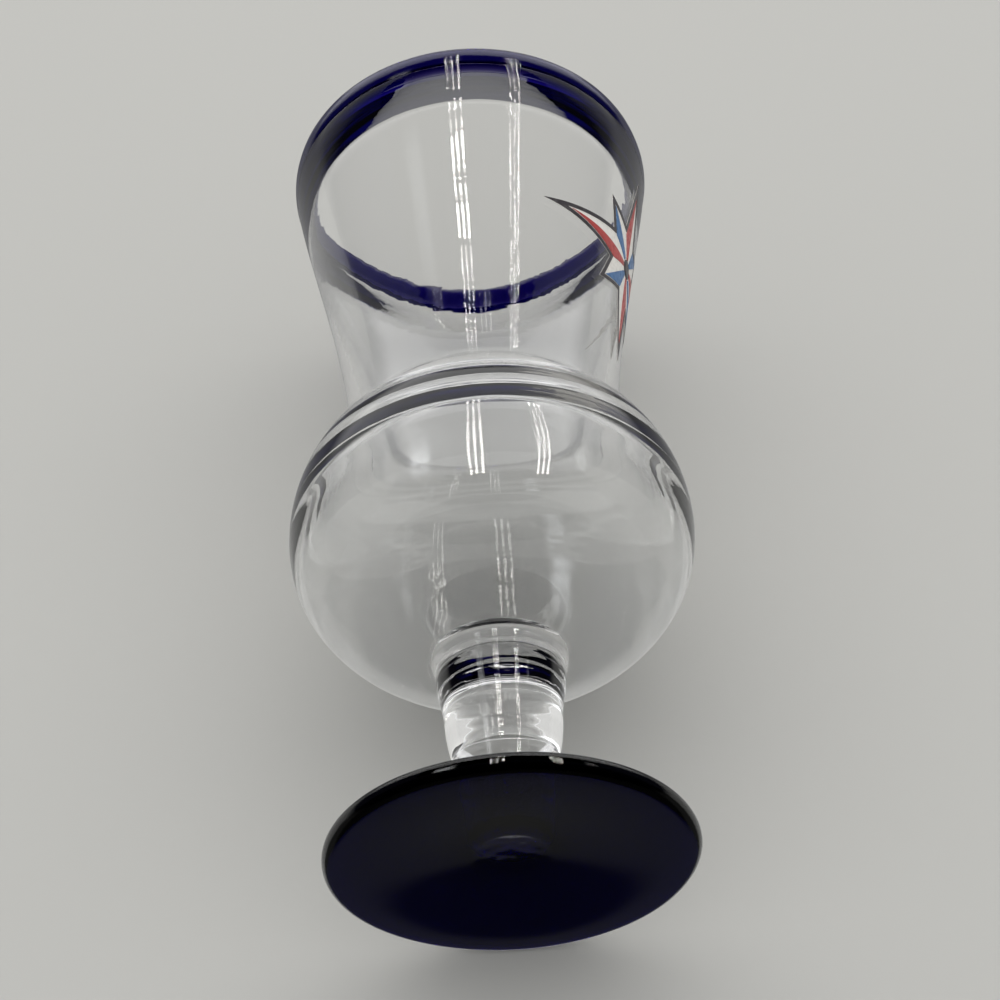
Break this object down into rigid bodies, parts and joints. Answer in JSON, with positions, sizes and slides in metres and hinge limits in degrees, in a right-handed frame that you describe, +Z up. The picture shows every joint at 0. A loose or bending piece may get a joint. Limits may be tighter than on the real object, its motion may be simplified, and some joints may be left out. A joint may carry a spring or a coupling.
{
  "type": "hurricane glass",
  "caption": "Hand-blown hurricane glass with a round bulb under a flared cup, a solid clear stem, a cobalt-blue foot and lip, and a printed star badge on the cup.",
  "frame": {"origin": "middle of the ring that the glass stands on, on the table", "axes": "+Z up the axis of the glass, front towards -Y, badge towards +X"},
  "size_m": [0.0922, 0.0922, 0.2028],
  "materials": {
    "clear_glass": "fire-polished, clear",
    "cobalt_glass": "fire-polished, deep cobalt blue",
    "white_enamel": "fired enamel, satin",
    "red_enamel": "fired enamel, satin",
    "blue_enamel": "fired enamel, satin",
    "dark_enamel": "fired enamel, satin"
  },
  "bodies": {
    "root": {"foot": "cobalt_glass", "stem": "clear_glass", "collar": "clear_glass", "bowl": "clear_glass", "rim_band": "cobalt_glass", "print_ground": "white_enamel", "print_red": "red_enamel", "print_blue": "blue_enamel", "print_outline": "dark_enamel"}
  },
  "joints": []
}
